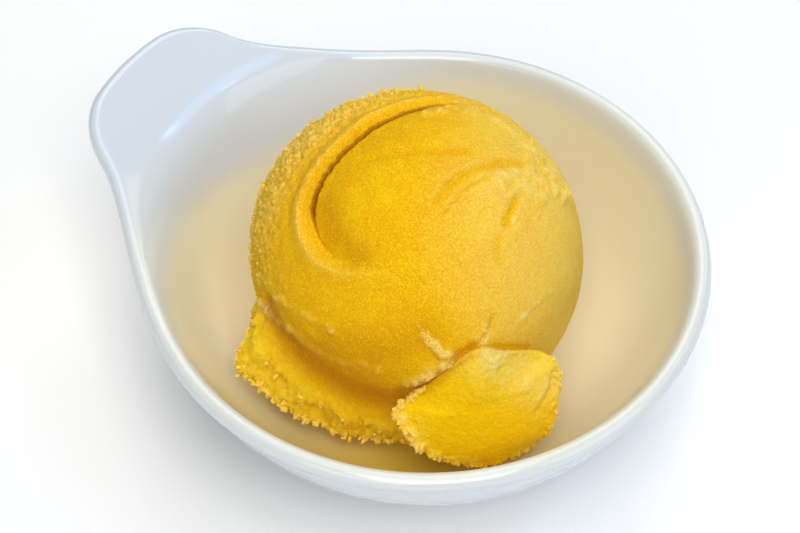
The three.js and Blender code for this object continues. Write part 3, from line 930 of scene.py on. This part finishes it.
def add_noise(nodes, links, vector, scale, detail=2.0, roughness=0.5):
    noise_node = nodes.new("ShaderNodeTexNoise")
    noise_node.inputs["Scale"].default_value = scale
    noise_node.inputs["Detail"].default_value = detail
    noise_node.inputs["Roughness"].default_value = roughness
    links.new(vector, noise_node.inputs["Vector"])
    return noise_node.outputs["Fac"]


def add_attribute(nodes, name, output="Fac"):
    node = nodes.new("ShaderNodeAttribute")
    node.attribute_name = name
    return node.outputs[output]


def add_math(nodes, links, operation, *values):
    node = nodes.new("ShaderNodeMath")
    node.operation = operation
    for socket, value in zip(node.inputs, values):
        if isinstance(value, (int, float)):
            socket.default_value = value
        else:
            links.new(value, socket)
    return node.outputs["Value"]


def add_range(nodes, links, value, low, high, out_low=0.0, out_high=1.0):
    node = nodes.new("ShaderNodeMapRange")
    node.interpolation_type = "SMOOTHSTEP"
    links.new(value, node.inputs["Value"])
    node.inputs["From Min"].default_value = low
    node.inputs["From Max"].default_value = high
    node.inputs["To Min"].default_value = out_low
    node.inputs["To Max"].default_value = out_high
    return node.outputs["Result"]


def add_mix(nodes, links, factor, first, second):
    node = nodes.new("ShaderNodeMix")
    node.data_type = "RGBA"
    links.new(factor, node.inputs["Factor"])
    for socket, colour in ((node.inputs["A"], first), (node.inputs["B"], second)):
        if isinstance(colour, tuple):
            socket.default_value = (*colour, 1)
        else:
            links.new(colour, socket)
    return node.outputs["Result"]


def add_bump(nodes, links, shader, height, strength, distance):
    bump = nodes.new("ShaderNodeBump")
    bump.inputs["Strength"].default_value = strength
    bump.inputs["Distance"].default_value = distance
    links.new(height, bump.inputs["Height"])
    links.new(bump.outputs["Normal"], shader.inputs["Normal"])


def porcelain():
    material, nodes, links, shader = new_material("white_glaze")
    if nodes is None:
        return material
    shader.inputs["Roughness"].default_value = 0.1
    shader.inputs["Coat Weight"].default_value = 0.3
    shader.inputs["Coat Roughness"].default_value = 0.04
    place = nodes.new("ShaderNodeTexCoord").outputs["Object"]
    pool = add_attribute(nodes, "pool")
    cloud = add_noise(nodes, links, place, 40, 3)
    # Outside, the glaze's blue cast is painted cool skylight.
    outside = add_mix(nodes, links, cloud, GLAZE_COOL, GLAZE_COOL_LIGHT)
    inside = add_mix(nodes, links, cloud, GLAZE_WARM, GLAZE_WARM_LIGHT)
    # Inside, painted warm bounce light from the sorbet tints the glaze.
    colour = add_mix(nodes, links, pool, outside, inside)
    # The sorbet's painted shadow on the glaze, yellow with its bounce light.
    colour = add_mix(nodes, links, add_attribute(nodes, "juice"), colour, GLAZE_JUICE)
    links.new(colour, shader.inputs["Base Color"])
    ripple = add_noise(nodes, links, place, 90, 1)
    add_bump(nodes, links, shader, ripple, 0.04, 0.0005)
    return material


def frozen_mango(name="frozen_mango", subsurface=0.35):
    material, nodes, links, shader = new_material(name)
    if nodes is None:
        return material
    shader.inputs["Roughness"].default_value = 0.5
    shader.inputs["IOR"].default_value = 1.33
    shader.inputs["Specular IOR Level"].default_value = 0.12
    shader.inputs["Subsurface Weight"].default_value = subsurface
    shader.inputs["Subsurface Radius"].default_value = (1.0, 0.55, 0.1)
    shader.inputs["Subsurface Scale"].default_value = 0.001
    shader.inputs["Sheen Weight"].default_value = 0.02
    shader.inputs["Sheen Roughness"].default_value = 0.5
    shader.inputs["Sheen Tint"].default_value = (1.0, 0.9, 0.6, 1)
    place = nodes.new("ShaderNodeTexCoord").outputs["Object"]
    frost = add_attribute(nodes, "frost")
    deep = add_attribute(nodes, "deep")
    thin = add_attribute(nodes, "thin")
    bloom = add_attribute(nodes, "bloom")
    flow = add_attribute(nodes, "flow", "Vector")
    cloud = add_noise(nodes, links, place, 110, 4, 0.6)
    speck = add_noise(nodes, links, place, 3000, 3, 0.7)
    streak = add_noise(nodes, links, flow, 1.0, 3, 0.6)

    # Fine grain, broad clouds and the scoop's streaks together move the body's tone.
    clouded = add_math(nodes, links, "MULTIPLY", cloud, 0.2)
    clouded = add_math(nodes, links, "MULTIPLY_ADD", streak, 0.15, clouded)
    toned = add_math(nodes, links, "MULTIPLY_ADD", speck, 0.65, clouded)
    tone = add_range(nodes, links, toned, 0.43, 0.57)
    body = add_mix(nodes, links, tone, MANGO_WARM, MANGO_BRIGHT)
    thin_body = add_mix(nodes, links, tone, MANGO_THIN_DEEP, MANGO_THIN)
    body = add_mix(nodes, links, thin, body, thin_body)
    # Painted shade deepens the colour in creases, hollows and grooves, darkest in the fold's
    # crevice.
    body = add_mix(nodes, links, add_range(nodes, links, deep, 0, 1), body, MANGO_DEEP)
    body = add_mix(nodes, links, add_range(nodes, links, deep, 1, 2), body, MANGO_DARK)
    crystal = add_range(nodes, links, speck, 0.54, 0.66, 0.0, 0.5)
    body = add_mix(nodes, links, crystal, body, MANGO_CRYSTAL)

    # Frost on the ice, the painted highlight on the fold's crest and the painted sheen on the
    # smooth side are pale, and uneven from grain to grain.
    uneven = add_range(nodes, links, speck, 0.38, 0.62, 0.3, 1.4)
    brushed = add_range(nodes, links, toned, 0.41, 0.59, 0.75, 1.25)
    frosted = add_math(nodes, links, "MULTIPLY", frost, uneven)
    brushed = add_math(nodes, links, "MULTIPLY", bloom, brushed)
    frosted = add_math(nodes, links, "ADD", frosted, brushed)
    colour = add_mix(nodes, links, frosted, body, MANGO_PALE)
    links.new(colour, shader.inputs["Base Color"])
    height = add_math(nodes, links, "MULTIPLY_ADD", streak, 0.5, speck)
    add_bump(nodes, links, shader, height, 0.6, 0.0004)
    return material


def floor_material():
    material, nodes, _, shader = new_material("studio_floor")
    if nodes is None:
        return material
    shader.inputs["Base Color"].default_value = (0.95, 0.95, 0.95, 1)
    shader.inputs["Roughness"].default_value = 0.9
    return material


# ---- Stage ----

FLOOR_REACH = 3.0
# Each light's name, azimuth, elevation, distance in metres, size, power in watts, colour and roll.
LIGHTS = [
    ("window", 42, 53, 1.3, (0.7, 0.2), 1.2, (0.1, 0.4, 1.0), -42),
    ("glint", 57, 46, 1.3, (0.1, 0.06), 0.065, (0.6, 0.95, 1.0), 0),
    ("glint_far", 34, 53, 1.3, (0.1, 0.04), 0.045, (0.6, 0.95, 1.0), 0),
    ("front", -50, 60, 1.5, (0.9, 0.9), 13.5, (1.0, 0.97, 0.93), 0),
    ("front_low", -80, 32, 1.5, (0.9, 0.9), 4.8, (1.0, 0.97, 0.93), 0),
    ("top", 150, 86, 1.5, (0.9, 0.9), 4.8, (0.95, 0.99, 1.0), 0),
    ("back", 120, 50, 1.5, (0.9, 0.9), 5.8, (1.0, 0.99, 0.95), 0),
    ("back_low", 90, 25, 1.5, (0.9, 0.9), 3.3, (1.0, 0.99, 0.93), 0),
    ("side", 5, 34, 1.5, (0.9, 0.9), 3.3, (0.8, 0.93, 1.0), 0),
]


def make_floor():
    mesh = bpy.data.meshes.new("floor")
    signs = ((-1, -1), (1, -1), (1, 1), (-1, 1))
    corners = [(x * FLOOR_REACH, y * FLOOR_REACH, 0) for x, y in signs]
    mesh.from_pydata(corners, [], [(0, 1, 2, 3)])
    floor = bpy.data.objects.new("floor", mesh)
    bpy.context.scene.collection.objects.link(floor)
    floor.data.materials.append(floor_material())


def add_light(name, azimuth, elevation, distance, size, power, colour, roll):
    """An area light aimed at the bowl, rolled from level; azimuth 0 is +X, 90 is +Y."""
    data = bpy.data.lights.new(name, "AREA")
    data.shape = "RECTANGLE"
    data.size, data.size_y = size
    data.energy = power
    data.color = colour
    light = bpy.data.objects.new(name, data)
    bpy.context.scene.collection.objects.link(light)
    a = math.radians(azimuth)
    e = math.radians(elevation)
    toward = Vector((math.cos(a) * math.cos(e), math.sin(a) * math.cos(e), math.sin(e)))
    light.location = CAMERA_TARGET + toward * distance
    turned = toward.to_track_quat("Z", "Y") @ Quaternion((0, 0, 1), math.radians(roll))
    light.rotation_euler = turned.to_euler()


def set_world(colour, strength):
    world = bpy.data.worlds.new("studio")
    world.use_nodes = True
    background = world.node_tree.nodes["Background"]
    background.inputs["Color"].default_value = (*colour, 1)
    background.inputs["Strength"].default_value = strength
    bpy.context.scene.world = world


def make_camera():
    data = bpy.data.cameras.new("camera")
    data.sensor_width = SENSOR_MM
    data.lens = FOCAL_PX * SENSOR_MM / IMAGE_WIDTH_PX
    data.clip_start = 0.01
    camera = bpy.data.objects.new("camera", data)
    bpy.context.scene.collection.objects.link(camera)
    back = camera_back()
    camera.location = CAMERA_TARGET + back * CAMERA_DISTANCE
    camera.rotation_euler = back.to_track_quat("Z", "Y").to_euler()
    bpy.context.scene.camera = camera


# ---- Scene ----

make_camera()
dish = make_dish()
ball, ball_rings = make_ball()
tongue, tongue_rings = make_tongue()
sorbet_points = [rings[::2, ::3].reshape(-1, 3) for rings in (ball_rings, tongue_rings)]
# Paint the sorbet's shadow, yellow with its bounce light, on the glaze beside it.
stain_dish(dish, np.vstack(sorbet_points))
make_crumbs([
    (ball_band(ball_rings, 200, 285, 1), 340, 0.3, 0.95, 0.45, 0.8),
    (ball_band(ball_rings, 205, 275, 10), 120, 0.2, 0.6, 0.5, 0.6),
    (ball_band(ball_rings, 88, 200, 8), 540, 0.25, 0.7, 0.6, 0.7),
    (ball_band(ball_rings, 95, 195, 34), 560, 0.15, 0.4, 0.6, 0.6),
    (ball_band(ball_rings, 40, 88, 8), 110, 0.15, 0.45, 0.4, 0.6),
    (tongue_band(tongue_rings, 0.18, 0.84), 300, 0.15, 0.55, 0.45, 0.5),
    (tongue_band(tongue_rings, 0.62, 0.84), 260, 0.15, 0.42, 0.75, 2.0),
    (tongue_band(tongue_rings, 0.01, 0.2), 50, 0.1, 0.22, 0.7, 0.6),
])
make_floor()
set_world((0.95, 0.97, 1.0), 0.02)
for light in LIGHTS:
    add_light(*light)
bpy.context.scene.view_settings.view_transform = "Standard"
